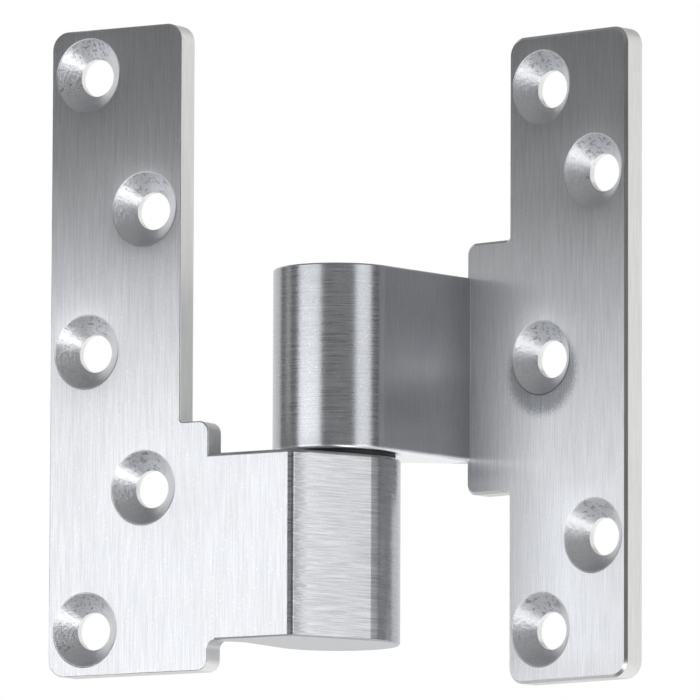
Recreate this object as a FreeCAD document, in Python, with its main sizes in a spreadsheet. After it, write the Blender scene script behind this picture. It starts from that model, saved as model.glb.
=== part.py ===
import FreeCAD, Part
import math
import os
import Sketcher

# Offset pivot hinge for a heavy swing door. Two cast leaves carry a pin that stands
# out from the door's corner, so the door clears its frame as it opens.
#
# The frame of the part is that of the lower leaf, which is screwed to the door frame:
# origin in the middle of its flat back, screw heads towards -Y, +X along the leaf
# towards the pin, +Z up along the pin. The upper leaf belongs to the door and is
# drawn turned about the pin by rest_turn.

V = FreeCAD.Vector
doc = FreeCAD.newDocument("pivot_hinge")

# Driving dimensions, in millimetres and degrees
SIZES = [
    ("leaf_height", 127.0, "both leaves, along the pin"),
    ("leaf_width", 29.9, "narrow part of a leaf, between its long edges"),
    ("leaf_thick", 4.76, "plate thickness of both leaves"),
    ("leaf_corner", 3.5, "radius of the four outer corners"),
    ("tab_corner", 2.2, "radius of the outer corners of the tab"),
    ("step_corner", 0.6, "radius in the inner corners of the steps"),
    ("lower_edge", 0.25, "eased front edge of the lower plate"),
    ("upper_edge", 0.55, "filed front edge of the upper plate"),
    ("face_offset", 22.2, "pin axis to the lower leaf's screw face"),
    ("door_gap", 3.2, "between the two screw faces when the door is shut"),
    ("edge_setback", 22.2, "pin axis to the long edge of the narrow plate"),
    ("knuckle_dia", 25.0, "outside of both knuckles"),
    ("knuckle_height", 36.25, "each knuckle and its arm"),
    ("knuckle_edge", 0.7, "rounded rims of knuckles and arms, at the washer"),
    ("knuckle_break", 0.3, "chamfered rims of knuckles and arms, at their outer ends"),
    ("lower_tab_reach", 6.5, "tab of the lower leaf beyond the narrow plate"),
    ("lower_tab_rise", 6.4, "tab of the lower leaf above its arm"),
    ("lower_arm_rise", 5.9, "foot of the lower leaf to the underside of its arm"),
    ("face_land", 2.9, "flush front of the lower arm, past the pin axis"),
    ("nose_edge", 1.8, "rounding between the flush front and the slant of the lower arm"),
    ("back_sweep", 5.0, "hollow radius where the lower arm leaves the plate"),
    ("foot_hollow", 1.6, "hollow radius between the tab and the underside of the lower arm"),
    ("upper_arm_rise", 44.3, "foot of the upper leaf to the underside of its arm"),
    ("upper_tab_rise", 6.8, "tab of the upper leaf above its arm"),
    ("upper_tab_drop", 6.6, "tab of the upper leaf below its arm"),
    ("upper_tab_lip", 1.1, "tab of the upper leaf past the flat side of its arm"),
    ("arm_run_out", 1.6, "back flat of the upper arm ends this far past its flat side"),
    ("screw_dia", 7.4, "through holes"),
    ("head_dia", 14.3, "mouth of the countersinks"),
    ("head_angle", 90.0, "included angle of the countersinks"),
    ("hole_inset", 8.35, "hole centres from the long edges"),
    ("end_inset_lower", 9.0, "first and fifth holes of the lower leaf, from its ends"),
    ("mid_pitch_lower", 54.6, "second to fourth hole of the lower leaf"),
    ("end_inset_upper", 10.3, "first and fifth holes of the upper leaf, from its ends"),
    ("mid_pitch_upper", 71.2, "second to fourth hole of the upper leaf"),
    ("pin_dia", 9.52, "hardened pivot pin"),
    ("pin_grip", 26.0, "length of pin pressed into the lower knuckle"),
    ("pin_reach", 27.0, "length of pin that stands above the washer"),
    ("pin_chamfer", 0.8, "chamfered ends of the pin"),
    ("pin_play", 0.04, "radial running clearance of the pin in its bush"),
    ("bush_wall", 2.2, "wall of the bearing bush"),
    ("bush_length", 24.0, "bearing bush, flush with the upper knuckle's face"),
    ("bore_spare", 1.5, "air above the end of the pin"),
    ("washer_thick", 0.8, "thrust washer"),
    ("washer_inset", 1.0, "washer's rim inside the knuckle's outside"),
    ("washer_bore_play", 0.3, "radial play of the washer on the pin"),
    ("washer_play", 0.1, "running gap above the washer"),
    ("rest_turn", 10.0, "upper leaf short of lying in line with the lower one"),
]

sheet = doc.addObject("Spreadsheet::Sheet", "sizes")
for row, (alias, size, meaning) in enumerate(SIZES, start=1):
    sheet.set("A%d" % row, alias)
    sheet.set("B%d" % row, str(size))
    sheet.set("C%d" % row, meaning)
    sheet.setAlias("B%d" % row, alias)
doc.recompute()

# Two vertices nearer than this are one and the same
SAME_PLACE = 1e-4

# Places that several pieces share, as expressions on the sheet
HALF_WIDTH = "sizes.leaf_width / 2"
HALF_HEIGHT = "sizes.leaf_height / 2"
KNUCKLE_R = "sizes.knuckle_dia / 2"
PIN_R = "sizes.pin_dia / 2"
BUSH_R = "(sizes.pin_dia / 2 + sizes.pin_play + sizes.bush_wall)"
AXIS_ALONG = "(sizes.leaf_width / 2 + sizes.edge_setback)"
AXIS_BEHIND = "(sizes.face_offset - sizes.leaf_thick)"
AXIS_BEFORE = "(sizes.face_offset + sizes.door_gap + sizes.leaf_thick)"
LOWER_ARM_FOOT = "(sizes.lower_arm_rise - sizes.leaf_height / 2)"
LOWER_ARM_HEAD = "(" + LOWER_ARM_FOOT + " + sizes.knuckle_height)"
UPPER_ARM_FOOT = "(sizes.upper_arm_rise - sizes.leaf_height / 2)"
WASHER_HEAD = "(" + LOWER_ARM_HEAD + " + sizes.washer_thick)"
UPPER_KNUCKLE_FOOT = "(" + WASHER_HEAD + " + sizes.washer_play)"


def number(expression):
    """What an expression on the sheet comes to."""
    return float(sheet.evalExpression(expression))


def new_body(name):
    return doc.addObject("PartDesign::Body", name)


def new_sketch(body, name, role, lift="0"):
    """A sketch on one of the body's own origin planes, lifted along the plane's normal."""
    sketch = body.newObject("Sketcher::SketchObject", name)
    plane = [f for f in body.Origin.OriginFeatures if f.Role == role][0]
    sketch.AttachmentSupport = [(plane, "")]
    sketch.MapMode = "FlatFace"
    sketch.AttachmentOffset = FreeCAD.Placement(V(0, 0, number(lift)), FreeCAD.Rotation())
    sketch.setExpression("AttachmentOffset.Base.z", lift)
    return sketch


def bind(sketch, label, constraint, expression):
    """Adds a constraint whose size is an expression on the sheet."""
    index = sketch.addConstraint(constraint)
    sketch.renameConstraint(index, label)
    sketch.setExpression("Constraints." + label, expression)


def bind_point(sketch, label, geometry, end, across, up):
    """Ties one end of a line, or a centre, to its place from the sketch's origin."""
    for kind, ending, expression in (("DistanceX", "_across", across), ("DistanceY", "_up", up)):
        constraint = Sketcher.Constraint(kind, -1, 1, geometry, end, number(expression))
        bind(sketch, label + ending, constraint, expression)


def polygon(sketch, corners):
    """A closed outline of straight lines. Each corner is (name, across, up)."""
    points = [V(number(across), number(up), 0) for _, across, up in corners]
    count = len(points)
    for i in range(count):
        sketch.addGeometry(Part.LineSegment(points[i], points[(i + 1) % count]))
    for i in range(count):
        sketch.addConstraint(Sketcher.Constraint("Coincident", i, 2, (i + 1) % count, 1))
    for i, (name, across, up) in enumerate(corners):
        bind_point(sketch, name, i, 1, across, up)


def circle(sketch, name, across, up, radius):
    """A circle tied to its place and radius."""
    centre = V(number(across), number(up), 0)
    geometry = sketch.addGeometry(Part.Circle(centre, V(0, 0, 1), number(radius)))
    bind_point(sketch, name, geometry, 3, across, up)
    bind(sketch, name + "_radius", Sketcher.Constraint("Radius", geometry, number(radius)), radius)


def pad(body, name, sketch, length):
    feature = body.newObject("PartDesign::Pad", name)
    feature.Profile = sketch
    feature.Length = number(length)
    feature.setExpression("Length", length)
    doc.recompute()


def dress_edges(body, kind, name, test, prop, size):
    """A fillet or chamfer on those edges of the body, as it stands, that pass a test."""
    base = body.Tip
    edges = ["Edge%d" % i for i, edge in enumerate(base.Shape.Edges, start=1) if test(edge)]
    feature = body.newObject(kind, name)
    feature.Base = (base, edges)
    setattr(feature, prop, number(size))
    feature.setExpression(prop, size)
    doc.recompute()


def round_edges(body, name, test, radius):
    dress_edges(body, "PartDesign::Fillet", name, test, "Radius", radius)


def chamfer_edges(body, name, test, size):
    dress_edges(body, "PartDesign::Chamfer", name, test, "Size", size)


def same(a, b):
    return abs(a - b) < SAME_PLACE


# Both leaves start as a flat plate with a wider tab where the arm grows out


def leaf_plate(name, outline, outer, tab, inner, ease, edge):
    """Plate from its outline, with rounded corners and an eased front. Screw face at -Y."""
    body = new_body(name)
    sketch = new_sketch(body, name + "_outline", "XZ_Plane")
    polygon(sketch, outline)
    pad(body, name + "_pad", sketch, "sizes.leaf_thick")
    place = {corner: (number(across), number(up)) for corner, across, up in outline}

    def at(corners):
        spots = [place[corner] for corner in corners]
        return lambda e: any(all(same(v.X, x) and same(v.Z, z) for v in e.Vertexes) for x, z in spots)

    def on_screw_face(e):
        return all(same(v.Y, -number("sizes.leaf_thick")) for v in e.Vertexes)

    round_edges(body, name + "_corners", at(outer), "sizes.leaf_corner")
    round_edges(body, name + "_tab_corners", at(tab), "sizes.tab_corner")
    round_edges(body, name + "_steps", at(inner), "sizes.step_corner")
    ease(body, name + "_rim", on_screw_face, edge)
    return body


def screw_holes(body, name, places):
    """Countersunk screw holes through the plate, opening on the screw face."""
    sketch = new_sketch(body, name + "_places", "XZ_Plane", "sizes.leaf_thick")
    for i, (across, up) in enumerate(places, start=1):
        circle(sketch, "hole%d" % i, across, up, "sizes.screw_dia / 2")
    doc.recompute()
    before = body.Tip.Shape.Volume
    holes = body.newObject("PartDesign::Hole", name)
    holes.Profile = sketch
    holes.DepthType = "ThroughAll"
    holes.HoleCutType = "Countersink"
    holes.HoleCutCustomValues = True
    for prop, size in (
        ("Diameter", "sizes.screw_dia"),
        ("HoleCutDiameter", "sizes.head_dia"),
        ("HoleCutCountersinkAngle", "sizes.head_angle"),
    ):
        setattr(holes, prop, number(size))
        holes.setExpression(prop, size)
    doc.recompute()
    if holes.Shape.Volume >= before:
        raise RuntimeError(name + " cut nothing")


def zigzag(end_inset, mid_pitch):
    """Five places: the ends and the middle in one column, the other two in the other."""
    left = "-" + HALF_WIDTH + " + sizes.hole_inset"
    right = HALF_WIDTH + " - sizes.hole_inset"
    return [
        (left, HALF_HEIGHT + " - " + end_inset),
        (right, mid_pitch + " / 2"),
        (left, "0"),
        (right, "-" + mid_pitch + " / 2"),
        (left, end_inset + " - " + HALF_HEIGHT),
    ]


# Both arms are a plan outline, as tall as their knuckle, with dressed rims


def touch_point(axis, point, radius, side):
    """Where a line from a point touches a circle about the axis. Side is 1 or -1."""
    away = point - axis
    along = away * (radius ** 2 / away.Length ** 2)
    reach = radius * (away.Length ** 2 - radius ** 2) ** 0.5 / away.Length ** 2
    return axis + along + V(-away.y, away.x, 0) * (side * reach)


def direction(centre, point):
    """Angle of a point about a centre, as arcs are given."""
    return (point - centre).getAngle(V(1, 0, 0)) * (1 if point.y >= centre.y else -1)


def line(sketch, start, end):
    return sketch.addGeometry(Part.LineSegment(start, end))


def arc(sketch, centre, radius, start, end):
    """An arc that runs anticlockwise from one angle to the other."""
    return sketch.addGeometry(Part.ArcOfCircle(Part.Circle(centre, V(0, 0, 1), radius), start, end))


def join(sketch, first, first_end, second, second_end, smooth):
    kind = "Tangent" if smooth else "Coincident"
    sketch.addConstraint(Sketcher.Constraint(kind, first, first_end, second, second_end))


def rim_at(height, root_x):
    """Test for the rim of an arm at one end, except at the root that the plate hides."""
    level = number(height)

    def on_rim(edge):
        level_edge = all(same(v.Z, level) for v in edge.Vertexes)
        return level_edge and not all(same(v.X, root_x) for v in edge.Vertexes)

    return on_rim


def bore(body, name, across, behind, lift, radius, depth, upwards):
    """A blind bore about the pin axis, from one end of a knuckle."""
    sketch = new_sketch(body, name + "_place", "XY_Plane", lift)
    circle(sketch, name, across, behind, radius)
    before = body.Tip.Shape.Volume
    pocket = body.newObject("PartDesign::Pocket", name)
    pocket.Profile = sketch
    pocket.Reversed = upwards
    pocket.Length = number(depth)
    pocket.setExpression("Length", depth)
    doc.recompute()
    if pocket.Shape.Volume >= before:
        raise RuntimeError(name + " cut nothing")


def fused(name, plate, arm):
    """Plate and arm are one casting."""
    leaf = doc.addObject("Part::Fuse", name)
    leaf.Base = plate
    leaf.Tool = arm
    leaf.Refine = True
    leaf.Label = name
    doc.recompute()
    return leaf


# Lower leaf: its arm is flush with the screw face, then slants back to the knuckle

TAB_END = "(sizes.leaf_width / 2 + sizes.lower_tab_reach)"
TAB_HEAD = "(" + LOWER_ARM_HEAD + " + sizes.lower_tab_rise)"
lower_plate = leaf_plate(
    "lower_plate",
    [
        ("foot_left", "-" + HALF_WIDTH, "-" + HALF_HEIGHT),
        ("foot_right", TAB_END, "-" + HALF_HEIGHT),
        ("tab_head", TAB_END, TAB_HEAD),
        ("step", HALF_WIDTH, TAB_HEAD),
        ("head_right", HALF_WIDTH, HALF_HEIGHT),
        ("head_left", "-" + HALF_WIDTH, HALF_HEIGHT),
    ],
    outer=("foot_left", "head_right", "head_left"),
    tab=("tab_head", "foot_right"),
    inner=("step",),
    ease=round_edges,
    edge="sizes.lower_edge",
)
screw_holes(lower_plate, "lower_holes", zigzag("sizes.end_inset_lower", "sizes.mid_pitch_lower"))

lower_arm = new_body("lower_arm")
plan = new_sketch(lower_arm, "lower_arm_plan", "XY_Plane", LOWER_ARM_FOOT)
axis = V(number(AXIS_ALONG), number(AXIS_BEHIND), 0)
radius = number(KNUCKLE_R)
sweep = number("sizes.back_sweep")
face = -number("sizes.leaf_thick")
root_x = number(HALF_WIDTH)
land = V(axis.x + number("sizes.face_land"), face, 0)
touch = touch_point(axis, land, radius, 1)
side_x = axis.x - radius
front_line = line(plan, V(root_x, face, 0), land)
slant = line(plan, land, touch)
knuckle = arc(plan, axis, radius, direction(axis, touch), math.pi)
side = line(plan, V(side_x, axis.y, 0), V(side_x, sweep, 0))
hollow = arc(plan, V(side_x - sweep, sweep, 0), sweep, -math.pi / 2, 0)
back_line = line(plan, V(side_x - sweep, 0, 0), V(root_x, 0, 0))
root_line = line(plan, V(root_x, 0, 0), V(root_x, face, 0))
join(plan, front_line, 2, slant, 1, smooth=False)
join(plan, slant, 2, knuckle, 1, smooth=True)
join(plan, knuckle, 2, side, 1, smooth=True)
join(plan, side, 2, hollow, 2, smooth=True)
join(plan, hollow, 1, back_line, 1, smooth=True)
join(plan, back_line, 2, root_line, 1, smooth=False)
join(plan, root_line, 2, front_line, 1, smooth=False)
plan.addConstraint(Sketcher.Constraint("Vertical", side))
plan.addConstraint(Sketcher.Constraint("Horizontal", back_line))
bind_point(plan, "root_front", front_line, 1, HALF_WIDTH, "-sizes.leaf_thick")
bind_point(plan, "land", slant, 1, AXIS_ALONG + " + sizes.face_land", "-sizes.leaf_thick")
bind_point(plan, "axis", knuckle, 3, AXIS_ALONG, AXIS_BEHIND)
bind_point(plan, "root_back", root_line, 1, HALF_WIDTH, "0")
bind(plan, "knuckle_radius", Sketcher.Constraint("Radius", knuckle, radius), KNUCKLE_R)
bind(plan, "hollow_radius", Sketcher.Constraint("Radius", hollow, sweep), "sizes.back_sweep")
pad(lower_arm, "lower_arm_pad", plan, "sizes.knuckle_height")
round_edges(
    lower_arm,
    "lower_arm_nose",
    lambda edge: all(same(v.X, land.x) and same(v.Y, land.y) for v in edge.Vertexes),
    "sizes.nose_edge",
)
round_edges(lower_arm, "lower_arm_head_rim", rim_at(LOWER_ARM_HEAD, root_x), "sizes.knuckle_edge")
chamfer_edges(lower_arm, "lower_arm_foot_rim", rim_at(LOWER_ARM_FOOT, root_x), "sizes.knuckle_break")

# The tab runs into the underside of the arm in a hollow as deep as the plate
web = new_sketch(lower_arm, "foot_hollow_section", "XZ_Plane")
tab_x = number(TAB_END)
foot_z = number(LOWER_ARM_FOOT)
depth = number("sizes.foot_hollow")
inner_side = line(web, V(tab_x - depth, foot_z + depth, 0), V(tab_x - depth, foot_z - depth, 0))
web_foot = line(web, V(tab_x - depth, foot_z - depth, 0), V(tab_x, foot_z - depth, 0))
curve = arc(web, V(tab_x + depth, foot_z - depth, 0), depth, math.pi / 2, math.pi)
outer_side = line(web, V(tab_x + depth, foot_z, 0), V(tab_x + depth, foot_z + depth, 0))
web_head = line(web, V(tab_x + depth, foot_z + depth, 0), V(tab_x - depth, foot_z + depth, 0))
join(web, inner_side, 2, web_foot, 1, smooth=False)
join(web, web_foot, 2, curve, 2, smooth=False)
join(web, curve, 1, outer_side, 1, smooth=False)
join(web, outer_side, 2, web_head, 1, smooth=False)
join(web, web_head, 2, inner_side, 1, smooth=False)
web.addConstraint(Sketcher.Constraint("Vertical", inner_side))
web.addConstraint(Sketcher.Constraint("Horizontal", web_foot))
web.addConstraint(Sketcher.Constraint("Vertical", outer_side))
web.addConstraint(Sketcher.Constraint("Horizontal", web_head))
web.addConstraint(Sketcher.Constraint("Vertical", curve, 3, outer_side, 1))
bind_point(
    web,
    "curve_centre",
    curve,
    3,
    TAB_END + " + sizes.foot_hollow",
    LOWER_ARM_FOOT + " - sizes.foot_hollow",
)
bind_point(
    web,
    "inner_head",
    inner_side,
    1,
    TAB_END + " - sizes.foot_hollow",
    LOWER_ARM_FOOT + " + sizes.foot_hollow",
)
bind_point(web, "curve_foot", web_foot, 2, TAB_END, LOWER_ARM_FOOT + " - sizes.foot_hollow")
pad(lower_arm, "foot_hollow", web, "sizes.leaf_thick")
bore(lower_arm, "pin_bore", AXIS_ALONG, AXIS_BEHIND, LOWER_ARM_HEAD, PIN_R, "sizes.pin_grip", upwards=False)
lower_leaf = fused("lower_leaf", lower_plate, lower_arm)

# Upper leaf: its arm is square to the screw face and tapers back into the plate. It is
# drawn in its own leaf's coordinates, back at Y 0, and then turned about the pin.

ARM_SIDE = "(sizes.knuckle_dia / 2 - sizes.leaf_width / 2 - sizes.edge_setback)"
TAB_SIDE = "(" + ARM_SIDE + " - sizes.upper_tab_lip)"
upper_plate = leaf_plate(
    "upper_plate",
    [
        ("foot_left", "-" + HALF_WIDTH, "-" + HALF_HEIGHT),
        ("foot_right", HALF_WIDTH, "-" + HALF_HEIGHT),
        ("head_right", HALF_WIDTH, HALF_HEIGHT),
        ("head_left", "-" + HALF_WIDTH, HALF_HEIGHT),
        ("step_head", "-" + HALF_WIDTH, UPPER_ARM_FOOT + " + sizes.knuckle_height + sizes.upper_tab_rise"),
        ("tab_head", TAB_SIDE, UPPER_ARM_FOOT + " + sizes.knuckle_height + sizes.upper_tab_rise"),
        ("tab_foot", TAB_SIDE, UPPER_ARM_FOOT + " - sizes.upper_tab_drop"),
        ("step_foot", "-" + HALF_WIDTH, UPPER_ARM_FOOT + " - sizes.upper_tab_drop"),
    ],
    outer=("foot_left", "foot_right", "head_left", "head_right"),
    tab=("tab_head", "tab_foot"),
    inner=("step_head", "step_foot"),
    ease=chamfer_edges,
    edge="sizes.upper_edge",
)
screw_holes(upper_plate, "upper_holes", zigzag("sizes.end_inset_upper", "sizes.mid_pitch_upper"))

upper_arm = new_body("upper_arm")
plan = new_sketch(upper_arm, "upper_arm_plan", "XY_Plane", UPPER_ARM_FOOT)
axis = V(-number(AXIS_ALONG), -number(AXIS_BEFORE), 0)
root_x = -number(HALF_WIDTH)
side_x = number(ARM_SIDE)
run_out = V(side_x - number("sizes.arm_run_out"), 0, 0)
touch = touch_point(axis, run_out, radius, 1)
back_line = line(plan, V(root_x, 0, 0), run_out)
slant = line(plan, run_out, touch)
knuckle = arc(plan, axis, radius, direction(axis, touch), 2 * math.pi)
side = line(plan, V(side_x, axis.y, 0), V(side_x, face, 0))
front_line = line(plan, V(side_x, face, 0), V(root_x, face, 0))
root_line = line(plan, V(root_x, face, 0), V(root_x, 0, 0))
join(plan, back_line, 2, slant, 1, smooth=False)
join(plan, slant, 2, knuckle, 1, smooth=True)
join(plan, knuckle, 2, side, 1, smooth=True)
join(plan, side, 2, front_line, 1, smooth=False)
join(plan, front_line, 2, root_line, 1, smooth=False)
join(plan, root_line, 2, back_line, 1, smooth=False)
plan.addConstraint(Sketcher.Constraint("Vertical", side))
plan.addConstraint(Sketcher.Constraint("Horizontal", front_line))
bind_point(plan, "root_back", back_line, 1, "-" + HALF_WIDTH, "0")
bind_point(plan, "run_out", slant, 1, ARM_SIDE + " - sizes.arm_run_out", "0")
bind_point(plan, "axis", knuckle, 3, "-" + AXIS_ALONG, "-" + AXIS_BEFORE)
bind_point(plan, "root_front", root_line, 1, "-" + HALF_WIDTH, "-sizes.leaf_thick")
bind(plan, "knuckle_radius", Sketcher.Constraint("Radius", knuckle, radius), KNUCKLE_R)
pad(upper_arm, "upper_arm_pad", plan, "sizes.knuckle_height")
UPPER_ARM_HEAD = "(" + UPPER_ARM_FOOT + " + sizes.knuckle_height)"
round_edges(upper_arm, "upper_arm_foot_rim", rim_at(UPPER_ARM_FOOT, root_x), "sizes.knuckle_edge")
chamfer_edges(upper_arm, "upper_arm_head_rim", rim_at(UPPER_ARM_HEAD, root_x), "sizes.knuckle_break")
bore(
    upper_arm,
    "bush_bore",
    "-" + AXIS_ALONG,
    "-" + AXIS_BEFORE,
    UPPER_ARM_FOOT,
    BUSH_R,
    "sizes.pin_reach - sizes.washer_play + sizes.bore_spare",
    upwards=True,
)
upper_leaf = fused("upper_leaf", upper_plate, upper_arm)
TURN = "(-1 deg * sizes.rest_turn)"
upper_leaf.Placement = FreeCAD.Placement(V(0, 0, 0), FreeCAD.Rotation(V(0, 0, 1), number(TURN)))
upper_leaf.setExpression("Placement.Rotation.Angle", TURN)
upper_leaf.setExpression(
    "Placement.Base.x",
    "%s + %s * cos%s - %s * sin%s" % (AXIS_ALONG, AXIS_ALONG, TURN, AXIS_BEFORE, TURN),
)
upper_leaf.setExpression(
    "Placement.Base.y",
    "%s + %s * sin%s + %s * cos%s" % (AXIS_BEHIND, AXIS_ALONG, TURN, AXIS_BEFORE, TURN),
)
upper_leaf.setExpression("Placement.Base.z", UPPER_KNUCKLE_FOOT + " - " + UPPER_ARM_FOOT)


# Pin, bush and washer are turned on the pin axis, each drawn from its own lower end


def turned(name, profile, foot):
    """A round piece: its half section, (name, radius, height), turned about the pin axis."""
    body = new_body(name)
    sketch = new_sketch(body, name + "_section", "XZ_Plane")
    polygon(sketch, profile)
    revolution = body.newObject("PartDesign::Revolution", name + "_turned")
    revolution.Profile = sketch
    revolution.ReferenceAxis = (sketch, ["V_Axis"])
    revolution.Angle = 360
    body.Label = name
    body.setExpression("Placement.Base.x", AXIS_ALONG)
    body.setExpression("Placement.Base.y", AXIS_BEHIND)
    body.setExpression("Placement.Base.z", foot)
    doc.recompute()
    return body


PIN_LENGTH = "(sizes.pin_grip + sizes.washer_thick + sizes.pin_reach)"
BUSH_BORE_R = "(sizes.pin_dia / 2 + sizes.pin_play)"
WASHER_BORE_R = "(sizes.pin_dia / 2 + sizes.washer_bore_play)"
WASHER_R = "(sizes.knuckle_dia / 2 - sizes.washer_inset)"
pivot_pin = turned(
    "pivot_pin",
    [
        ("foot_middle", "0", "0"),
        ("foot_rim", PIN_R + " - sizes.pin_chamfer", "0"),
        ("foot_side", PIN_R, "sizes.pin_chamfer"),
        ("head_side", PIN_R, PIN_LENGTH + " - sizes.pin_chamfer"),
        ("head_rim", PIN_R + " - sizes.pin_chamfer", PIN_LENGTH),
        ("head_middle", "0", PIN_LENGTH),
    ],
    LOWER_ARM_HEAD + " - sizes.pin_grip",
)
thrust_washer = turned(
    "thrust_washer",
    [
        ("foot_bore", WASHER_BORE_R, "0"),
        ("foot_rim", WASHER_R, "0"),
        ("head_rim", WASHER_R, "sizes.washer_thick"),
        ("head_bore", WASHER_BORE_R, "sizes.washer_thick"),
    ],
    LOWER_ARM_HEAD,
)
bearing_bush = turned(
    "bearing_bush",
    [
        ("foot_bore", BUSH_BORE_R, "0"),
        ("foot_rim", BUSH_R, "0"),
        ("head_rim", BUSH_R, "sizes.bush_length"),
        ("head_bore", BUSH_BORE_R, "sizes.bush_length"),
    ],
    UPPER_KNUCKLE_FOOT,
)

doc.recompute()
failed = [o.Name for o in doc.Objects if "Invalid" in o.State or "Error" in o.State]
if failed:
    raise RuntimeError("not computed: " + ", ".join(failed))

pieces = [lower_leaf, pivot_pin, thrust_washer, bearing_bush, upper_leaf]
for piece in pieces:
    if piece.Shape.isNull() or not piece.Shape.isValid() or len(piece.Shape.Solids) != 1:
        raise RuntimeError(piece.Label + " is not one sound solid")

os.makedirs("parts", exist_ok=True)
for piece in pieces:
    piece.Shape.exportStep("parts/%s.step" % piece.Label)
    print("%s: %.0f cubic mm, %d faces" % (piece.Label, piece.Shape.Volume, len(piece.Shape.Faces)))
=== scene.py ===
import math

import bmesh
import bpy
from mathutils import Matrix, Vector


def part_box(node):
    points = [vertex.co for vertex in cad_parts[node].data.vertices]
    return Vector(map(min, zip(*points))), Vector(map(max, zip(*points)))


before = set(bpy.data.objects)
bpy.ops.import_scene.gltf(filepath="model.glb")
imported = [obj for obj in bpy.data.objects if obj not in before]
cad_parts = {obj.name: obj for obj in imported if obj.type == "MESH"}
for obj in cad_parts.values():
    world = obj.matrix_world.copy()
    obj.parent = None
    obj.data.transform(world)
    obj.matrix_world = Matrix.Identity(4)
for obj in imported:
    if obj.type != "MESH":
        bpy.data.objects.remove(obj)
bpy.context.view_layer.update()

# Camera: a long lens two metres away, to the right of the screw faces and a little
# below the hinge, so the undersides of both arms show.

ONE_MM = 0.001
UP = Vector((0, 0, 1))
pin_low, pin_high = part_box("pivot_pin")
pin_axis = Vector(((pin_low.x + pin_high.x) / 2, (pin_low.y + pin_high.y) / 2, 0))

VIEW_AZIMUTH = math.radians(31.06)
VIEW_RISE = math.radians(6.85)
VIEW_ROLL = math.radians(0.22)
VIEW_DISTANCE = 2.0
AIM_PAST_PIN = 2.53 * ONE_MM
AIM_HEIGHT = 0.18 * ONE_MM
SENSOR_WIDTH = 36
LENS_LENGTH = 527.7

view_right = Vector((math.cos(VIEW_AZIMUTH), math.sin(VIEW_AZIMUTH), 0))
view_ahead = Vector((-math.sin(VIEW_AZIMUTH), math.cos(VIEW_AZIMUTH), 0))
forward = view_ahead * math.cos(VIEW_RISE) + UP * math.sin(VIEW_RISE)
upward = view_right.cross(forward)
aim = pin_axis + view_right * AIM_PAST_PIN + UP * AIM_HEIGHT

camera_x = view_right * math.cos(VIEW_ROLL) + upward * math.sin(VIEW_ROLL)
camera_y = upward * math.cos(VIEW_ROLL) - view_right * math.sin(VIEW_ROLL)
camera_axes = Matrix((camera_x, camera_y, -forward)).transposed()
camera_data = bpy.data.cameras.new("camera")
camera_data.sensor_width = SENSOR_WIDTH
camera_data.lens = LENS_LENGTH
camera = bpy.data.objects.new("camera", camera_data)
camera.matrix_world = Matrix.Translation(aim - forward * VIEW_DISTANCE) @ camera_axes.to_4x4()
bpy.context.scene.collection.objects.link(camera)
bpy.context.scene.camera = camera
bpy.context.scene.view_settings.view_transform = "Standard"

# Room: dim walls in front of the hinge and a paler ceiling, which are what its metal
# mirrors. The camera sees plain white there.

HORIZON_GREY = 0.19
CEILING_GREY = 0.36
HORIZON_CLIMB = 0.20
CEILING_CLIMB = 0.62
WHITE = (1, 1, 1, 1)


def node(tree, kind, **settings):
    """A new node in a material or in the world."""
    made = tree.nodes.new(kind)
    for key, value in settings.items():
        setattr(made, key, value)
    return made


world = bpy.data.worlds.new("studio")
bpy.context.scene.world = world
world.use_nodes = True
room_tree = world.node_tree
room_tree.nodes.clear()
outlook = node(room_tree, "ShaderNodeTexCoord")
way = node(room_tree, "ShaderNodeSeparateXYZ")
room_tree.links.new(outlook.outputs["Generated"], way.inputs[0])
climb = node(room_tree, "ShaderNodeMapRange", interpolation_type="SMOOTHSTEP")
climb.inputs["From Min"].default_value = HORIZON_CLIMB
climb.inputs["From Max"].default_value = CEILING_CLIMB
climb.inputs["To Min"].default_value = HORIZON_GREY
climb.inputs["To Max"].default_value = CEILING_GREY
room_tree.links.new(way.outputs["Z"], climb.inputs["Value"])
walls = node(room_tree, "ShaderNodeBackground")
room_tree.links.new(climb.outputs["Result"], walls.inputs["Color"])
white = node(room_tree, "ShaderNodeBackground")
white.inputs["Color"].default_value = WHITE
room_rays = node(room_tree, "ShaderNodeLightPath")
walls_or_white = node(room_tree, "ShaderNodeMixShader")
room_tree.links.new(room_rays.outputs["Is Camera Ray"], walls_or_white.inputs[0])
room_tree.links.new(walls.outputs[0], walls_or_white.inputs[1])
room_tree.links.new(white.outputs[0], walls_or_white.inputs[2])
room_end = node(room_tree, "ShaderNodeOutputWorld")
room_tree.links.new(walls_or_white.outputs[0], room_end.inputs["Surface"])

# Studio: a plain pale floor well below the hinge, and white paper that hangs in an arc
# behind it and runs forward over the floor. Metal sees the paper behind it.

FLOOR_HEIGHT = -0.34
STUDIO_RADIUS = 3.4
FLOOR_RADIUS = 1.4 * STUDIO_RADIUS
FLOOR_SIDES = 64
PAPER_HEIGHT = 2.6
PAPER_FOOT = 0.03
PAPER_FROM = math.radians(115)
PAPER_TO = math.radians(269)
PAPER_STEPS = 24
PAPER_GREY = (0.9, 0.9, 0.9)
FLOOR_GREY = (0.88, 0.88, 0.88)


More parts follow.
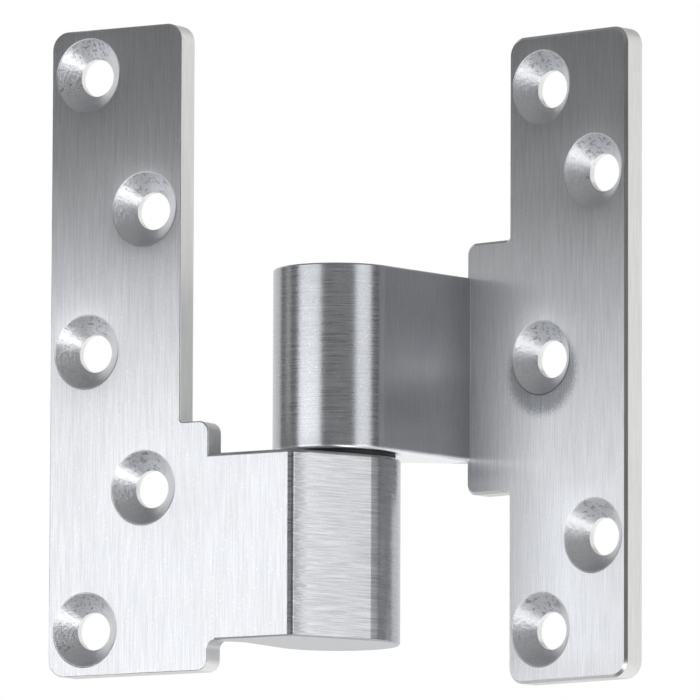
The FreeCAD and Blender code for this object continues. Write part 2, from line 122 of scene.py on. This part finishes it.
def stage_material(name, colour, glow, lit_for_camera):
    """Pale paper. Glow is how white it looks in metal, and lit_for_camera, from 0 to 1, how
    much of what the camera sees is plain white. The rest is lit and keeps the shadow."""
    material = bpy.data.materials.new(name)
    material.use_nodes = True
    tree = material.node_tree
    tree.nodes.clear()
    rays = node(tree, "ShaderNodeLightPath")
    matte = node(tree, "ShaderNodeBsdfDiffuse")
    matte.inputs["Color"].default_value = (*colour, 1)
    lit = node(tree, "ShaderNodeEmission")
    lit.inputs["Color"].default_value = WHITE
    strength = node(tree, "ShaderNodeMath", operation="MULTIPLY_ADD")
    tree.links.new(rays.outputs["Is Camera Ray"], strength.inputs[0])
    strength.inputs[1].default_value = 1 - glow
    strength.inputs[2].default_value = glow
    tree.links.new(strength.outputs[0], lit.inputs["Strength"])
    mirrored = node(tree, "ShaderNodeMath", operation="MAXIMUM")
    tree.links.new(rays.outputs["Is Glossy Ray"], mirrored.inputs[0])
    tree.links.new(rays.outputs["Is Transmission Ray"], mirrored.inputs[1])
    seen = node(tree, "ShaderNodeMath", operation="MULTIPLY_ADD")
    tree.links.new(rays.outputs["Is Camera Ray"], seen.inputs[0])
    seen.inputs[1].default_value = lit_for_camera
    tree.links.new(mirrored.outputs[0], seen.inputs[2])
    matte_or_lit = node(tree, "ShaderNodeMixShader")
    tree.links.new(seen.outputs[0], matte_or_lit.inputs[0])
    tree.links.new(matte.outputs[0], matte_or_lit.inputs[1])
    tree.links.new(lit.outputs[0], matte_or_lit.inputs[2])
    end = node(tree, "ShaderNodeOutputMaterial")
    tree.links.new(matte_or_lit.outputs[0], end.inputs["Surface"])
    return material


def studio_piece(name, shape, material):
    """A piece of the studio in its place."""
    mesh = bpy.data.meshes.new(name)
    shape.to_mesh(mesh)
    shape.free()
    mesh.materials.append(material)
    piece = bpy.data.objects.new(name, mesh)
    bpy.context.scene.collection.objects.link(piece)
    return piece


def paper_edge(shape, radius, height):
    """The points of one edge of the paper, on an arc behind the hinge."""
    points = []
    for i in range(PAPER_STEPS + 1):
        azimuth = PAPER_FROM + (PAPER_TO - PAPER_FROM) * i / PAPER_STEPS
        across = Vector((math.sin(azimuth), -math.cos(azimuth), 0)) * radius
        points.append(shape.verts.new(across + UP * height))
    return points


def paper(name, radius_a, height_a, radius_b, height_b, material):
    """Paper between two edges, each at its own radius and height."""
    shape = bmesh.new()
    edge_a = paper_edge(shape, radius_a, height_a)
    edge_b = paper_edge(shape, radius_b, height_b)
    for i in range(PAPER_STEPS):
        shape.faces.new((edge_a[i], edge_a[i + 1], edge_b[i + 1], edge_b[i]))
    return studio_piece(name, shape, material)


white_paper = stage_material("white_paper", PAPER_GREY, glow=1.0, lit_for_camera=1)
paper_sweep = paper(
    "paper_sweep", STUDIO_RADIUS, FLOOR_HEIGHT, STUDIO_RADIUS, PAPER_HEIGHT, white_paper
)

disc = bmesh.new()
bmesh.ops.create_circle(disc, cap_ends=True, segments=FLOOR_SIDES, radius=FLOOR_RADIUS)
bmesh.ops.translate(disc, verts=disc.verts, vec=UP * FLOOR_HEIGHT)
pale_floor = stage_material("pale_floor", FLOOR_GREY, glow=0.42, lit_for_camera=0.6)
floor = studio_piece("floor", disc, pale_floor)

on_floor = FLOOR_HEIGHT + ONE_MM
paper_on_floor = stage_material("paper_on_floor", FLOOR_GREY, glow=1.0, lit_for_camera=0.6)
paper_foot = paper(
    "paper_foot", STUDIO_RADIUS, on_floor, PAPER_FOOT, on_floor, paper_on_floor
)

# Lamps: a low wide softbox close on the left, whose top edge shows in the leaves as the
# line between dark and light, a taller one on the right, and a card that lights from below.

LAMP_TINT = (0.985, 0.99, 1)
BOX_FOOT = -0.30
LEFT_BOX_HEAD = 0.057
FRINGE_HEAD = 0.072
RIGHT_BOX_HEAD = 0.35
LEFT_BOX_NEAR = (0.052, -0.403)
LEFT_BOX_JOIN = (-0.131, -0.326)
LEFT_BOX_FAR = (-0.225, -0.285)
RIGHT_BOX_NEAR = (0.53, -0.22)
RIGHT_BOX_FAR = (0.612, 0.066)
CARD_CENTRE = Vector((0.36, -0.36, FLOOR_HEIGHT + 0.02))
CARD_HEADING = Vector((0.66, 0.75, 0))
CARD_WIDTH = 0.42
CARD_LENGTH = 0.50
LEFT_RADIANCE = 2.7
FAR_LEFT_RADIANCE = 2.8
FRINGE_RADIANCE = 0.25
RIGHT_RADIANCE = 1.4
CARD_RADIANCE = 2.0


def flat_lamp(name, centre, along, across, width, length, radiance):
    """A rectangular lamp that glows away from along x across."""
    lamp = bpy.data.lights.new(name, "AREA")
    lamp.shape = "RECTANGLE"
    lamp.size = width
    lamp.size_y = length
    lamp.energy = radiance * math.pi * width * length
    lamp.color = LAMP_TINT
    holder = bpy.data.objects.new(name, lamp)
    axes = Matrix((along, across, along.cross(across))).transposed()
    holder.matrix_world = Matrix.Translation(centre) @ axes.to_4x4()
    holder.visible_camera = False
    bpy.context.scene.collection.objects.link(holder)


def softbox(name, near_end, far_end, foot, head, radiance):
    """An upright lamp between two places on the ground plan, glowing towards the hinge."""
    near = Vector((*near_end, 0))
    far = Vector((*far_end, 0))
    along = (far - near).normalized()
    centre = (near + far) / 2 + UP * (foot + head) / 2
    if along.cross(UP).dot(centre - pin_axis) < 0:
        along = -along
    flat_lamp(name, centre, along, UP, (far - near).length, head - foot, radiance)


for name, near_end, far_end, foot, head, radiance in (
    ("left_softbox", LEFT_BOX_NEAR, LEFT_BOX_JOIN, BOX_FOOT, LEFT_BOX_HEAD, LEFT_RADIANCE),
    ("far_left_softbox", LEFT_BOX_JOIN, LEFT_BOX_FAR, BOX_FOOT, LEFT_BOX_HEAD, FAR_LEFT_RADIANCE),
    ("left_softbox_fringe", LEFT_BOX_NEAR, LEFT_BOX_FAR, LEFT_BOX_HEAD, FRINGE_HEAD, FRINGE_RADIANCE),
    ("right_softbox", RIGHT_BOX_NEAR, RIGHT_BOX_FAR, BOX_FOOT, RIGHT_BOX_HEAD, RIGHT_RADIANCE),
):
    softbox(name, near_end, far_end, foot, head, radiance)
card_along = CARD_HEADING.normalized()
card_across = card_along.cross(UP)
flat_lamp(
    "bounce_card", CARD_CENTRE, card_along, card_across, CARD_WIDTH, CARD_LENGTH, CARD_RADIANCE
)

# Leaves: both are stainless castings, linished up and down over the screw faces and
# round the knuckles, left plain ground on their edges and backs, and machined in the
# countersinks. Each has its own axes, from the middle of its back, with -Y out of its face.

leaf_low, leaf_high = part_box("lower_leaf")
LEAF_WIDTH = 29.9 * ONE_MM
LEAF_THICK = -leaf_low.y
LEAF_HEIGHT = leaf_high.z - leaf_low.z
HOLE_INSET = 8.35 * ONE_MM
HEAD_RADIUS = 7.15 * ONE_MM
SCREW_RADIUS = 3.7 * ONE_MM
RIM_REACH = 2.2 * ONE_MM
MICRON = ONE_MM / 1000

DARK_STEEL = (0.53, 0.54, 0.56, 1)
PALE_STEEL = (0.71, 0.72, 0.74, 1)
WARM_CAST = (1, 0.985, 0.95, 1)

# Limits of an area, as the cosine between the surface and the way that the area faces:
# outside it at the first number and inside it at the second
FACE_LIMITS = (0.93, 0.985)
FLAT_LIMITS = (0.985, 0.996)
NEAR_FLAT_LIMITS = (0.85, 0.95)
COUNTERSINK_LIMITS = (0.3, 0.5)
BROKEN_EDGE_LIMITS = (0.35, 0.55)
BACK_LIMITS = (-0.03, -0.2)
LEVEL_LIMITS = (0.9, 0.98)
DEAD_LEVEL_LIMITS = (0.985, 0.999)
CHATTERED_ABOVE_LIMITS = (-0.35, -0.62)
CHATTERED_BELOW_LIMITS = (0.02, 0.12)
CHATTERED_LEFT_LIMITS = (0.5, 0.6)

# Limits of an area, as the distance from the centre of a hole
IN_HOLE_LIMITS = (HEAD_RADIUS + 0.2 * ONE_MM, HEAD_RADIUS + 0.05 * ONE_MM)
WORN_RIM_LIMITS = (HEAD_RADIUS + 0.25 * ONE_MM, HEAD_RADIUS + 0.05 * ONE_MM)
LAND_LIMITS = (SCREW_RADIUS + 0.2 * ONE_MM, SCREW_RADIUS + 0.1 * ONE_MM)

# Grains to the metre along x, y and z, then the noise's detail and its roughness
GRAINS = {
    "upright": ((6800, 6800, 120), 2, 0.6),
    "upright_waves": ((700, 700, 22), 2, 0.5),
    "round": ((130, 130, 5200), 2, 0.6),
    "round_waves": ((70, 70, 900), 2, 0.5),
    "speckle": ((4200, 4200, 3600), 2, 0.6),
    "smudge": ((85, 85, 60), 3, 0.55),
    "chatter": ((1300, 1300, 1300), 3, 0.65),
    "grit": ((4300, 4300, 4300), 1, 0.5),
}
LINE_LIMITS = (0.3, 0.7)
PATCH_LIMITS = (0.44, 0.52)
PIT_LIMITS = (0.53, 0.60)
# Where the painted glints show
GLITTER_LIMITS = (0.67, 0.75)
MORE_GLITTER_ON_KNUCKLE = 0.04

DEPTHS = {
    "upright": 4 * MICRON,
    "upright_waves": 8 * MICRON,
    "round": 3 * MICRON,
    "round_waves": 3 * MICRON,
    "speckle": 13 * MICRON,
    "speckle_on_knuckle": 8.5 * MICRON,
    "chatter": 110 * MICRON,
    "pits": -60 * MICRON,
    "towards_rim": -55 * MICRON,
    "worn_rim": -120 * MICRON,
}

# From the widest area to the smallest, each over the ones before it
KNUCKLE_ROUGHNESS = 0.30
ROUGHNESS = {
    "upright": 0.37,
    "flat": 0.32,
    "plain": 0.55,
    "broken_edge": 0.25,
}
LAND_ROUGHNESS = 0.35
SMUDGE_ROUGHNESS = 0.08
LINE_ROUGHNESS = 0.08

# How pale each area and mark is: 1 is the whole step from DARK_STEEL to PALE_STEEL
TONES = {
    "plain": 1.5,
    # Painted shade: the plain backs of the plates are made much darker than their edges.
    "behind": -2.4,
    # Painted shade: the eased edges are made darker, standing in for the dark line that their slope
    # mirrors.
    "broken_edge": -2.0,
    "knuckle": -1.1,
    "countersink": 0.1,
    # Painted shade: the upright flat of the upper arm is made darker than the screw face, though
    # brushed alike.
    "upright_flat": -1.35,
    # Painted light: the slanted flat of the lower arm is made paler, standing in for lamp light on
    # it.
    "slanted_flat": 1.9,
    "streaks": 1.2,
    # Painted shade: a dark crescent below the middle hole of the upper leaf, standing in for the
    # shade of a shallow hollow there.
    "smear": -1.8,
    # Painted highlight: a pale line along the rounded foot of the upper arm.
    "arm_foot": 2.5,
    # Painted shade: a dark ragged strip along the nose of the lower arm's slanted flat.
    "ragged_strip": -1.9,
    # Painted shade: level tops and undersides are made darker.
    "dead_level": -1.0,
    "pits": -1.6,
    # Painted glints: pale specks over the brushed screw faces and knuckles.
    "glitter": 1.2,
}
SPECKLE_SHARE = 0.42
SMUDGE_SHARE = 0.25
UPRIGHT_CONTRAST = 1.5
KNUCKLE_CONTRAST = 1.15
UPRIGHT_FLAT_CONTRAST = 0.7
UPRIGHT_GROOVES = 0.96
ROUND_GROOVES = 0.75
QUARTER_TURN = 0.25


def maths(tree, operation, a, b=None, c=None):
    """A Math node on sockets or plain numbers."""
    made = node(tree, "ShaderNodeMath", operation=operation)
    for i, value in enumerate((a, b, c)):
        if value is None:
            continue
        if isinstance(value, (int, float)):
            made.inputs[i].default_value = value
        else:
            tree.links.new(value, made.inputs[i])
    return made.outputs[0]


def times(tree, first, *others):
    """The product of sockets or plain numbers."""
    product = first
    for other in others:
        product = maths(tree, "MULTIPLY", product, other)
    return product


def outside(tree, share):
    """What an area's share leaves over."""
    return maths(tree, "SUBTRACT", 1, share)


def add(tree, value, share, amount):
    """A value with an amount added where the share is 1."""
    return maths(tree, "MULTIPLY_ADD", share, amount, value)


def blend(tree, amount, low, high):
    """Between two numbers or sockets."""
    span = maths(tree, "SUBTRACT", high, low)
    return maths(tree, "MULTIPLY_ADD", amount, span, low)


def vectors(tree, operation, a, b):
    """A Vector Math node on sockets or plain vectors."""
    made = node(tree, "ShaderNodeVectorMath", operation=operation)
    for i, value in enumerate((a, b)):
        if isinstance(value, (tuple, Vector)):
            made.inputs[i].default_value = tuple(value)
        else:
            tree.links.new(value, made.inputs[i])
    return made.outputs["Value"] if operation in ("DOT_PRODUCT", "DISTANCE") else made.outputs[0]


def split(tree, vector):
    """The x, y and z of a vector."""
    made = node(tree, "ShaderNodeSeparateXYZ")
    tree.links.new(vector, made.inputs[0])
    return made.outputs


def noise(tree, place, stretch, detail, rough):
    """Noise whose grain is 1 / stretch long each way, from 0 to 1."""
    made = node(tree, "ShaderNodeTexNoise")
    made.inputs["Scale"].default_value = 1
    made.inputs["Detail"].default_value = detail
    made.inputs["Roughness"].default_value = rough
    tree.links.new(vectors(tree, "MULTIPLY", place, stretch), made.inputs["Vector"])
    return made.outputs["Fac"]


def ramp(tree, value, start, end):
    """0 before start, 1 past end, smooth between. Start may be the larger."""
    made = node(tree, "ShaderNodeMapRange", interpolation_type="SMOOTHSTEP")
    tree.links.new(value, made.inputs["Value"])
    made.inputs["From Min"].default_value = min(start, end)
    made.inputs["From Max"].default_value = max(start, end)
    made.inputs["To Min"].default_value = 0 if start < end else 1
    made.inputs["To Max"].default_value = 1 if start < end else 0
    return made.outputs["Result"]


def swing(tree, grain):
    """How far a grain is from its middle, from -0.5 to 0.5."""
    return maths(tree, "SUBTRACT", grain, 0.5)


def bumped(tree, shader, height, distance):
    """Gives a shader the marks of a height, in units of the distance."""
    bump = node(tree, "ShaderNodeBump")
    bump.inputs["Strength"].default_value = 1
    bump.inputs["Distance"].default_value = distance
    tree.links.new(height, bump.inputs["Height"])
    tree.links.new(bump.outputs[0], shader.inputs["Normal"])


def leaf_axes(tree, place, origin, turn):
    """Places on a leaf's own axes."""
    own = node(tree, "ShaderNodeMapping", vector_type="POINT")
    own.inputs["Rotation"].default_value = (0, 0, turn)
    back = Matrix.Rotation(turn, 3, "Z") @ origin
    own.inputs["Location"].default_value = tuple(-back)
    tree.links.new(place, own.inputs["Vector"])
    return own.outputs["Vector"]


def from_hole(tree, on_leaf, holes):
    """How far a place is from the centre of the nearest hole, seen square to the face."""
    level_place = vectors(tree, "MULTIPLY", on_leaf, (1, 0, 1))
    nearest = None
    for hole in holes:
        away = vectors(tree, "DISTANCE", level_place, hole)
        nearest = away if nearest is None else maths(tree, "MINIMUM", nearest, away)
    return nearest


def worked_areas(tree, toward_face, flat, face, arm, level, nearest, upright_arm):
    """The share, 0 to 1, that each way of working has in a place on the leaf."""
    not_face = outside(tree, face)
    not_arm = outside(tree, arm)
    in_hole = ramp(tree, nearest, *IN_HOLE_LIMITS)
    sloping = ramp(tree, toward_face, *COUNTERSINK_LIMITS)
    countersink = times(tree, in_hole, sloping, not_face, not_arm)
    knuckle = times(tree, arm, not_face, outside(tree, level))
    upright = face
    if upright_arm:
        knuckle = times(tree, knuckle, outside(tree, flat))
        upright = maths(tree, "MAXIMUM", face, flat)
    plain = times(tree, not_face, not_arm, outside(tree, countersink))
    return {
        "flat": flat,
        "plate": times(tree, face, not_arm),
        "countersink": countersink,
        "land": ramp(tree, nearest, *LAND_LIMITS),
        "knuckle": knuckle,
        "upright": upright,
        "brushed": maths(tree, "MAXIMUM", upright, knuckle),
        "plain": plain,
        # Eased edges: rougher, and painted darker as shade
        "broken_edge": times(tree, ramp(tree, toward_face, *BROKEN_EDGE_LIMITS), plain),
        # Backs, which the tones paint dark as shade
        "behind": times(tree, ramp(tree, toward_face, *BACK_LIMITS), plain),
    }


def pits_of_countersinks(tree, normal, grain, area):
    """Chatter marks in the upper side of each countersink, and here and there lower left."""
    facing = split(tree, normal)
    upper_side = ramp(tree, facing["Z"], *CHATTERED_ABOVE_LIMITS)
    lower_side = ramp(tree, facing["Z"], *CHATTERED_BELOW_LIMITS)
    left_side = ramp(tree, facing["X"], *CHATTERED_LEFT_LIMITS)
    patches = ramp(tree, grain["smudge"], *PATCH_LIMITS)
    pitted = maths(tree, "MAXIMUM", times(tree, lower_side, left_side, patches), upper_side)
    pits = ramp(tree, grain["chatter"], *PIT_LIMITS)
    return times(tree, pits, pitted, area["countersink"])


def leaf_relief(tree, grain, area, nearest):
    """Height of the marks, in metres. Linishing rounds the face over towards the holes."""
    upright = times(tree, grain["upright_waves"], DEPTHS["upright_waves"])
    upright = add(tree, upright, grain["upright"], DEPTHS["upright"])
    turned = times(tree, grain["round_waves"], DEPTHS["round_waves"])
    turned = add(tree, turned, grain["round"], DEPTHS["round"])
    speckle = blend(tree, area["knuckle"], DEPTHS["speckle"], DEPTHS["speckle_on_knuckle"])
    past_rim = maths(tree, "SUBTRACT", nearest, HEAD_RADIUS)
    near_rim = maths(tree, "EXPONENT", maths(tree, "DIVIDE", past_rim, -RIM_REACH))
    worn_rim = ramp(tree, nearest, *WORN_RIM_LIMITS)

    height = times(tree, upright, area["upright"])
    height = add(tree, height, turned, area["knuckle"])
    height = add(tree, height, grain["speckle"], speckle)
    chatter = times(tree, area["countersink"], DEPTHS["chatter"])
    height = add(tree, height, grain["chatter"], chatter)
    height = add(tree, height, area["pits"], DEPTHS["pits"])
    height = add(tree, height, times(tree, near_rim, area["plate"]), DEPTHS["towards_rim"])
    return add(tree, height, times(tree, worn_rim, area["plate"]), DEPTHS["worn_rim"])


def leaf_roughness(tree, grain, area, rough_in_holes):
    """Roughness of each area, uneven with the smudges and with the lines round the knuckle."""
    rough = KNUCKLE_ROUGHNESS
    finishes = dict(ROUGHNESS, countersink=rough_in_holes, land=LAND_ROUGHNESS)
    for name, roughness in finishes.items():
        rough = blend(tree, area[name], rough, roughness)
    rough = add(tree, rough, swing(tree, grain["smudge"]), SMUDGE_ROUGHNESS)
    uneven = times(tree, swing(tree, grain["round"]), area["knuckle"])
    return add(tree, rough, uneven, LINE_ROUGHNESS)


def leaf_tone(tree, grain, area, contrast):
    """0 is DARK_STEEL and 1 PALE_STEEL, and it may be beyond both."""
    lines = blend(tree, area["knuckle"], grain["upright"], grain["round"])
    tone = blend(tree, SPECKLE_SHARE, lines, grain["speckle"])
    tone = blend(tree, SMUDGE_SHARE, tone, grain["smudge"])
    tone = add(tree, 0.5, swing(tree, tone), contrast)
    for name, step in TONES.items():
        if name in area:
            tone = add(tree, tone, area[name], step)
    return tone


def leaf_colour(tree, tone, plain):
    """The colour of a tone, a little warmer where the steel is plain ground."""
    shade = node(tree, "ShaderNodeMix", data_type="RGBA", clamp_factor=False)
    shade.inputs["A"].default_value = DARK_STEEL
    shade.inputs["B"].default_value = PALE_STEEL
    tree.links.new(tone, shade.inputs["Factor"])
    warmed = node(tree, "ShaderNodeMix", data_type="RGBA", blend_type="MULTIPLY")
    warmed.inputs["B"].default_value = WARM_CAST
    tree.links.new(plain, warmed.inputs["Factor"])
    tree.links.new(shade.outputs["Result"], warmed.inputs["A"])
    return warmed.outputs["Result"]


def leaf_steel(
    name,
    face_normal,
    flat_normal,
    origin,
    turn,
    holes,
    rough_in_holes,
    upright_arm,
    arm_of,
    marks_of,
):
    """Stainless with one finish for each area of a leaf, found from the surface's own
    direction and place. The flat of an upright arm is brushed up and down. Arm_of gives the
    leaf's face and arm, and marks_of the marks that it alone has."""
    material = bpy.data.materials.new(name)
    material.use_nodes = True
    tree = material.node_tree
    shader = tree.nodes["Principled BSDF"]
    coordinates = node(tree, "ShaderNodeTexCoord")
    normal = coordinates.outputs["Normal"]
    place = coordinates.outputs["Object"]
    on_leaf = leaf_axes(tree, place, origin, turn)
    steepness = maths(tree, "ABSOLUTE", split(tree, normal)["Z"])
    toward_face = vectors(tree, "DOT_PRODUCT", normal, face_normal)
    toward_flat = vectors(tree, "DOT_PRODUCT", normal, flat_normal)
    nearest = from_hole(tree, on_leaf, holes)
    grain = {}
    for kind, (stretch, detail, rough) in GRAINS.items():
        grain[kind] = noise(tree, place, stretch, detail, rough)
    for kind in ("upright", "round"):
        grain[kind] = ramp(tree, grain[kind], *LINE_LIMITS)

    face, arm = arm_of(tree, on_leaf, toward_face, ramp(tree, toward_face, *FACE_LIMITS))
    flat = times(tree, ramp(tree, toward_flat, *FLAT_LIMITS), arm)
    level = ramp(tree, steepness, *LEVEL_LIMITS)
    area = worked_areas(tree, toward_face, flat, face, arm, level, nearest, upright_arm)

    area["pits"] = pits_of_countersinks(tree, normal, grain, area)
    # Level tops and undersides, painted darker as shade
    area["dead_level"] = ramp(tree, steepness, *DEAD_LEVEL_LIMITS)
    # Pale specks of painted glints on the brushed areas, a few more on the knuckle
    grit = add(tree, grain["grit"], area["knuckle"], MORE_GLITTER_ON_KNUCKLE)
    area["glitter"] = times(tree, ramp(tree, grit, *GLITTER_LIMITS), area["brushed"])
    area.update(marks_of(tree, on_leaf, toward_flat, grain, area, arm))
    contrast = blend(tree, area["knuckle"], UPRIGHT_CONTRAST, KNUCKLE_CONTRAST)
    if upright_arm:
        contrast = blend(tree, flat, contrast, UPRIGHT_FLAT_CONTRAST)

    bumped(tree, shader, leaf_relief(tree, grain, area, nearest), 1)
    rough = leaf_roughness(tree, grain, area, rough_in_holes)
    tree.links.new(rough, shader.inputs["Roughness"])
    tone = leaf_tone(tree, grain, area, contrast)
    tree.links.new(leaf_colour(tree, tone, area["plain"]), shader.inputs["Base Color"])
    shader.inputs["Metallic"].default_value = 1
    grooves = blend(tree, area["knuckle"], UPRIGHT_GROOVES, ROUND_GROOVES)
    tree.links.new(times(tree, area["brushed"], grooves), shader.inputs["Anisotropic"])
    turned = times(tree, area["knuckle"], QUARTER_TURN)
    tree.links.new(turned, shader.inputs["Anisotropic Rotation"])
    direction = node(tree, "ShaderNodeTangent", direction_type="RADIAL", axis="Z")
    tree.links.new(direction.outputs[0], shader.inputs["Tangent"])
    return material


def hole_places(end_inset, mid_pitch):
    """Centres of a leaf's five holes on its face: ends and middle left, the others right."""
    left = HOLE_INSET - LEAF_WIDTH / 2
    right = LEAF_WIDTH / 2 - HOLE_INSET
    end = LEAF_HEIGHT / 2 - end_inset
    middle = mid_pitch / 2
    places = ((left, end), (right, middle), (left, 0), (right, -middle), (left, -end))
    return [Vector((x, 0, z)) for x, z in places]


def dress(name, material):
    """Gives a piece from the frame its material."""
    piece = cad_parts[name]
    piece.data.materials.clear()
    piece.data.materials.append(material)


# Lower leaf: the casting that is let into the frame. Its arm is flush with the screw face
# and breaks at a nose into a slanted flat, which is brushed round with the knuckle, painted
# paler as light, and has a dark ragged strip of painted shade along the nose.

LOWER_ARM_LIMITS = (21.2 * ONE_MM, 21.8 * ONE_MM)
LOWER_END_INSET = 9.0 * ONE_MM
LOWER_MID_PITCH = 54.6 * ONE_MM
FLAT_SLANT = math.radians(63.5)
NOSE_ALONG_FLAT = 13.6 * ONE_MM
PAST_NOSE_LIMITS = (0.2 * ONE_MM, 0.7 * ONE_MM)
STRIP_LIMITS = (1.4 * ONE_MM, 0.2 * ONE_MM)
STRIP_RAGGEDNESS = 3.4 * ONE_MM


def lower_arm(tree, on_leaf, toward_face, face):
    """The arm starts at the side of the tab, and the screw face runs on over it."""
    along_leaf = split(tree, on_leaf)["X"]
    arm = ramp(tree, along_leaf, *LOWER_ARM_LIMITS)
    return face, arm


def lower_marks(tree, on_leaf, toward_flat, grain, area, arm):
    """Streaks and painted light on the slanted flat, and a dark strip of painted shade along
    its nose that ends sooner or later in each line of the brushing."""
    down_flat = Vector((math.cos(FLAT_SLANT), math.sin(FLAT_SLANT), 0))
    along_flat = vectors(tree, "DOT_PRODUCT", on_leaf, down_flat)
    from_nose = maths(tree, "SUBTRACT", along_flat, NOSE_ALONG_FLAT)
    ragged = add(tree, from_nose, grain["round"], -STRIP_RAGGEDNESS)
    ragged = ramp(tree, ragged, *STRIP_LIMITS)
    past_nose = ramp(tree, from_nose, *PAST_NOSE_LIMITS)
    near_flat = ramp(tree, toward_flat, *NEAR_FLAT_LIMITS)
    return {
        # The slanted flat, painted paler as light
        "slanted_flat": area["flat"],
        "streaks": times(tree, area["flat"], swing(tree, grain["round"])),
        # A dark ragged strip of painted shade along the nose
        "ragged_strip": times(tree, ragged, past_nose, near_flat),
    }


dress(
    "lower_leaf",
    leaf_steel(
        "lower_leaf_steel",
        face_normal=Vector((0, -1, 0)),
        flat_normal=Vector((math.sin(FLAT_SLANT), -math.cos(FLAT_SLANT), 0)),
        origin=Vector((0, 0, 0)),
        turn=0,
        holes=hole_places(LOWER_END_INSET, LOWER_MID_PITCH),
        rough_in_holes=0.33,
        upright_arm=False,
        arm_of=lower_arm,
        marks_of=lower_marks,
    ),
)

# Upper leaf: the casting that is let into the door's edge and turns on the pin. The flat
# side of its arm is brushed up and down like the screw face and painted darker as shade,
# and the face has a dark crescent of painted shade below its middle hole.

UPPER_END_INSET = 10.3 * ONE_MM
UPPER_MID_PITCH = 71.2 * ONE_MM
UPPER_LIFT = -1.25 * ONE_MM
UPPER_ARM_LIMITS = (-LEAF_THICK - 0.01 * ONE_MM, -LEAF_THICK - 0.14 * ONE_MM)
SWEPT_BACK_LIMITS = (-2 * ONE_MM, -10 * ONE_MM)
ARM_FOOT_LIMITS = (-18.2 * ONE_MM, -18.9 * ONE_MM)
REST_TURN = math.radians(10)
PIN_FROM_UPPER_LEAF = Vector((-37.15, -30.16, 0)) * ONE_MM
# The dark crescent of painted shade below the middle hole
SMEAR_CENTRE = Vector((-6.3, 0, -2.7)) * ONE_MM
SMEAR_LIMITS = (7.6 * ONE_MM, 5.2 * ONE_MM)
SMEAR_RAGGEDNESS = 4 * ONE_MM


def upper_arm(tree, on_leaf, toward_face, face):
    """The arm stands on the screw face, and its swept back fades into the plate's."""
    depth = split(tree, on_leaf)["Y"]
    arm = ramp(tree, depth, *UPPER_ARM_LIMITS)
    face = times(tree, face, outside(tree, arm))
    swept_back = ramp(tree, toward_face, *BACK_LIMITS)
    fading = ramp(tree, depth, *SWEPT_BACK_LIMITS)
    return face, blend(tree, swept_back, arm, fading)


def upper_marks(tree, on_leaf, toward_flat, grain, area, arm):
    """A dark crescent of painted shade that hugs the rim of the middle hole from below, and a
    painted highlight on the rounded edge along the foot of the arm."""
    level_place = vectors(tree, "MULTIPLY", on_leaf, (1, 0, 1))
    from_centre = vectors(tree, "DISTANCE", level_place, SMEAR_CENTRE)
    ragged = add(tree, from_centre, grain["speckle"], -SMEAR_RAGGEDNESS)
    crescent = ramp(tree, ragged, *SMEAR_LIMITS)
    height = split(tree, on_leaf)["Z"]
    foot = ramp(tree, height, *ARM_FOOT_LIMITS)
    return {
        # The upright flat, painted darker as shade
        "upright_flat": area["flat"],
        # A dark crescent of painted shade below the middle hole
        "smear": times(tree, crescent, area["plate"]),
        # A pale line of painted highlight along the foot of the arm
        "arm_foot": times(tree, foot, arm),
    }


turned_back = Matrix.Rotation(-REST_TURN, 3, "Z")
dress(
    "upper_leaf",
    leaf_steel(
        "upper_leaf_steel",
        face_normal=turned_back @ Vector((0, -1, 0)),
        flat_normal=turned_back @ Vector((1, 0, 0)),
        origin=pin_axis - turned_back @ PIN_FROM_UPPER_LEAF + UP * UPPER_LIFT,
        turn=REST_TURN,
        holes=hole_places(UPPER_END_INSET, UPPER_MID_PITCH),
        rough_in_holes=0.42,
        upright_arm=True,
        arm_of=upper_arm,
        marks_of=upper_marks,
    ),
)

# Washer, pin and bush: only the washer's dark edge shows, in the gap between the
# knuckles. The pin is hardened steel, pressed into the lower knuckle, and the bush is
# sintered bronze, pressed into the upper one.

TURNED_GRAIN = (120, 120, 9000)
TURNED_DEPTH = 4 * MICRON
LINE_SPREAD = 1.4


def turned_finish(name, dark, light, rough, metallic):
    """A turned surface, with fine lines round the pin axis."""
    material = bpy.data.materials.new(name)
    material.use_nodes = True
    tree = material.node_tree
    shader = tree.nodes["Principled BSDF"]
    place = node(tree, "ShaderNodeTexCoord").outputs["Object"]
    lines = noise(tree, place, TURNED_GRAIN, 3, 0.6)
    shade = node(tree, "ShaderNodeMix", data_type="RGBA")
    shade.inputs["A"].default_value = (*dark, 1)
    shade.inputs["B"].default_value = (*light, 1)
    tree.links.new(lines, shade.inputs["Factor"])
    tree.links.new(shade.outputs["Result"], shader.inputs["Base Color"])
    tree.links.new(blend(tree, lines, rough, rough * LINE_SPREAD), shader.inputs["Roughness"])
    shader.inputs["Metallic"].default_value = metallic
    bumped(tree, shader, lines, TURNED_DEPTH)
    return material


for name, dark, light, rough, metallic in (
    ("thrust_washer", (0.012, 0.012, 0.013), (0.022, 0.022, 0.024), 0.55, 0),
    ("pivot_pin", (0.50, 0.51, 0.53), (0.62, 0.63, 0.65), 0.16, 1),
    ("bearing_bush", (0.52, 0.36, 0.17), (0.63, 0.45, 0.23), 0.30, 1),
):
    dress(name, turned_finish(name + "_finish", dark, light, rough, metallic))
